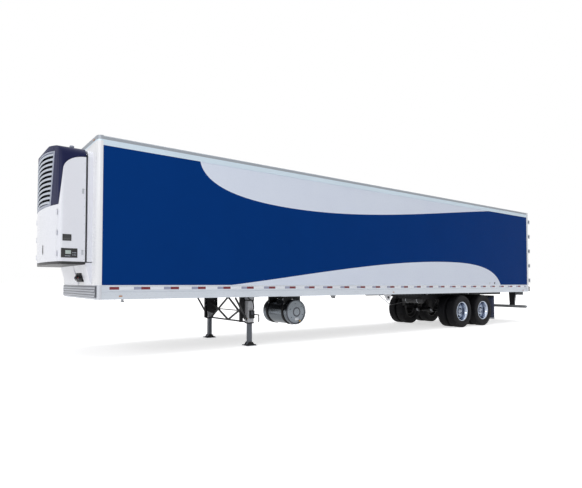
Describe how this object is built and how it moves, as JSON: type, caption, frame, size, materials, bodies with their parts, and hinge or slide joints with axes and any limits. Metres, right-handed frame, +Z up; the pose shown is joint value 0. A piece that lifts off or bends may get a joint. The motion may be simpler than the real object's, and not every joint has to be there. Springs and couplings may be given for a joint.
{
  "type": "refrigerated semi trailer",
  "caption": "Long refrigerated box semi trailer with a nose-mounted cooling unit, a sliding tandem bogie with twin wheels, landing gear, a cross-mounted fuel tank and swing rear doors.",
  "frame": {"origin": "on the ground, at the centre of the overall bounding box", "axes": "+X towards the nose (direction of travel), +Y to the left, +Z up"},
  "size_m": [16.942, 2.59, 4.11],
  "materials": {
    "aluminium_rail": "mill-finish aluminium, satin",
    "blue_side": "deep blue paint, gloss",
    "white_panel": "white paint, gloss",
    "floor": "extruded aluminium, satin",
    "underframe_steel": "dark grey paint, matt",
    "machined_steel": "machined steel",
    "stainless_frame": "brushed stainless steel",
    "rubber_black": "black rubber",
    "galvanised": "grey paint, satin",
    "unit_white": "white paint, gloss",
    "unit_dark": "black paint, matt",
    "unit_grille_dark": "dark grey plastic",
    "unit_navy": "navy paint, gloss",
    "connector_black": "black plastic and painted fittings",
    "polished_tank": "polished aluminium",
    "air_tank_paint": "black paint, satin",
    "flap_rubber": "dark blue-grey rubber",
    "tyre": "black rubber",
    "polished_wheel": "polished aluminium"
  },
  "bodies": {
    "trailer": {"floor_deck": "floor", "underframe": "underframe_steel", "bottom_rails": "aluminium_rail", "side_wall_left": "blue_side", "side_wall_right": "blue_side", "roof_panel": "white_panel", "top_rails": "aluminium_rail", "nose_wall": "white_panel", "nose_header": "aluminium_rail", "nose_sill": "aluminium_rail", "coupler_plate": "underframe_steel", "kingpin": "machined_steel", "rear_frame": "stainless_frame", "hinge_pins": "machined_steel", "dock_bumpers": "rubber_black", "underride_guard": "galvanised", "unit_frame": "unit_white", "unit_engine": "unit_dark", "unit_condenser": "unit_dark", "unit_sides": "unit_white", "unit_grille": "unit_grille_dark", "unit_cowl": "unit_navy", "unit_pan": "unit_dark", "unit_skirt": "unit_white", "service_connectors": "connector_black", "fuel_tank": "polished_tank", "tank_bracket": "underframe_steel", "landing_housings": "galvanised", "landing_legs": "underframe_steel", "landing_braces": "underframe_steel", "landing_crank": "galvanised", "slide_rails": "underframe_steel", "bogie_frame": "underframe_steel", "suspension_arms": "underframe_steel", "air_springs": "rubber_black", "axles": "underframe_steel", "air_tank": "air_tank_paint", "mud_flaps": "flap_rubber"},
    "rear_door_left": {"door_left": "white_panel", "door_hardware_left": "machined_steel"},
    "rear_door_right": {"door_right": "white_panel", "door_hardware_right": "machined_steel"},
    "unit_service_door_left": {"unit_door_left": "unit_white"},
    "unit_service_door_right": {"unit_door_right": "unit_white"},
    "wheel_pair_front_left": {"tyres_front_left": "tyre", "wheels_front_left": "polished_wheel"},
    "wheel_pair_front_right": {"tyres_front_right": "tyre", "wheels_front_right": "polished_wheel"},
    "wheel_pair_rear_left": {"tyres_rear_left": "tyre", "wheels_rear_left": "polished_wheel"},
    "wheel_pair_rear_right": {"tyres_rear_right": "tyre", "wheels_rear_right": "polished_wheel"}
  },
  "joints": [
    {"name": "rear_door_left_hinge", "type": "hinge", "parent": "trailer", "child": "rear_door_left", "pos_m": [-8.455, 1.277, 2.655], "axis": [0, 0, -1], "range_deg": [0, 265]},
    {"name": "unit_door_left_hinge", "type": "hinge", "parent": "trailer", "child": "unit_service_door_left", "pos_m": [8.3708, 0.968, 2.31], "axis": [0, 0, 1], "range_deg": [0, 110]},
    {"name": "rear_door_right_hinge", "type": "hinge", "parent": "trailer", "child": "rear_door_right", "pos_m": [-8.455, -1.277, 2.655], "axis": [0, 0, 1], "range_deg": [0, 265]},
    {"name": "unit_door_right_hinge", "type": "hinge", "parent": "trailer", "child": "unit_service_door_right", "pos_m": [8.3708, -0.968, 2.31], "axis": [0, 0, -1], "range_deg": [0, 110]},
    {"name": "wheel_pair_front_left_spin", "type": "hinge", "parent": "trailer", "child": "wheel_pair_front_left", "pos_m": [-3.883, 0.9835, 0.52], "axis": [0, 1, 0], "continuous": true},
    {"name": "wheel_pair_front_right_spin", "type": "hinge", "parent": "trailer", "child": "wheel_pair_front_right", "pos_m": [-3.883, -0.9835, 0.52], "axis": [0, 1, 0], "continuous": true},
    {"name": "wheel_pair_rear_left_spin", "type": "hinge", "parent": "trailer", "child": "wheel_pair_rear_left", "pos_m": [-5.128, 0.9835, 0.52], "axis": [0, 1, 0], "continuous": true},
    {"name": "wheel_pair_rear_right_spin", "type": "hinge", "parent": "trailer", "child": "wheel_pair_rear_right", "pos_m": [-5.128, -0.9835, 0.52], "axis": [0, 1, 0], "continuous": true}
  ]
}
